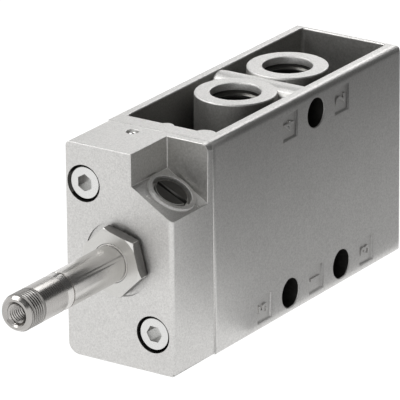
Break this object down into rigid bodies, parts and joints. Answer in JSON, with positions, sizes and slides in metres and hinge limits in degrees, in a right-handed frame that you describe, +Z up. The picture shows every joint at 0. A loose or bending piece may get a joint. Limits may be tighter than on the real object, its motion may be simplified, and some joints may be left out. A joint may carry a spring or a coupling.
{
  "type": "directional control valve",
  "caption": "Pilot-operated spool valve with a cast body, threaded ports top and bottom, a screwed-on pilot head, a slotted manual override and a bare armature tube for a solenoid coil.",
  "frame": {"origin": "centre of the supply port's mouth (port 1) on the bottom face", "axes": "+X along the spool towards the rear, with the armature tube at -X; +Z up, towards the two top ports; the labelled side with the override notch faces -Y"},
  "size_m": [0.1515, 0.0324, 0.057],
  "materials": {
    "cast_aluminium": "bead-blasted die casting, satin",
    "machined_aluminium": "turned",
    "stainless_steel": "turned and polished",
    "nickelled_steel": "nickel plated",
    "zinc_steel": "zinc plated",
    "polished_steel": "ground and polished",
    "spring_steel": "drawn wire",
    "burnished_steel": "dark burnished",
    "brass": "turned",
    "acetal": "moulded",
    "rubber": "moulded nitrile"
  },
  "bodies": {
    "valve": {"valve_body": "cast_aluminium", "pilot_head": "cast_aluminium", "head_gasket": "rubber", "head_screws": "zinc_steel", "armature_tube": "stainless_steel", "pole_piece": "stainless_steel", "tube_nut": "nickelled_steel", "tube_seal": "rubber", "pilot_seat": "brass", "override_pin": "zinc_steel", "sealing_ball": "polished_steel", "armature_spring": "spring_steel", "spool_seals": "rubber", "spacer_rings": "acetal", "guide_bushes": "acetal", "return_spring": "spring_steel", "rear_plug": "machined_aluminium", "plug_seal": "rubber", "retaining_ring": "burnished_steel"},
    "spool_set": {"spool": "machined_aluminium", "pilot_piston": "acetal", "piston_seal": "rubber"},
    "armature_set": {"armature": "stainless_steel", "armature_seals": "rubber"},
    "override": {"override_spindle": "burnished_steel", "override_seal": "rubber"}
  },
  "joints": [
    {"name": "spool_slide", "type": "slide", "parent": "valve", "child": "spool_set", "axis": [1, 0, 0], "range_m": [0, 0.004], "stiffness_N_per_m": 2500, "springref_m": -0.004, "deforming": ["return_spring"]},
    {"name": "armature_slide", "type": "slide", "parent": "valve", "child": "armature_set", "axis": [-1, 0, 0], "range_m": [0, 0.001], "stiffness_N_per_m": 260, "springref_m": -0.003, "deforming": ["armature_spring"]},
    {"name": "override_turn", "type": "hinge", "parent": "valve", "child": "override", "pos_m": [-0.05652, 0, 0.0285], "axis": [0, 0.5075, -0.8616], "range_deg": [0, 90]}
  ]
}
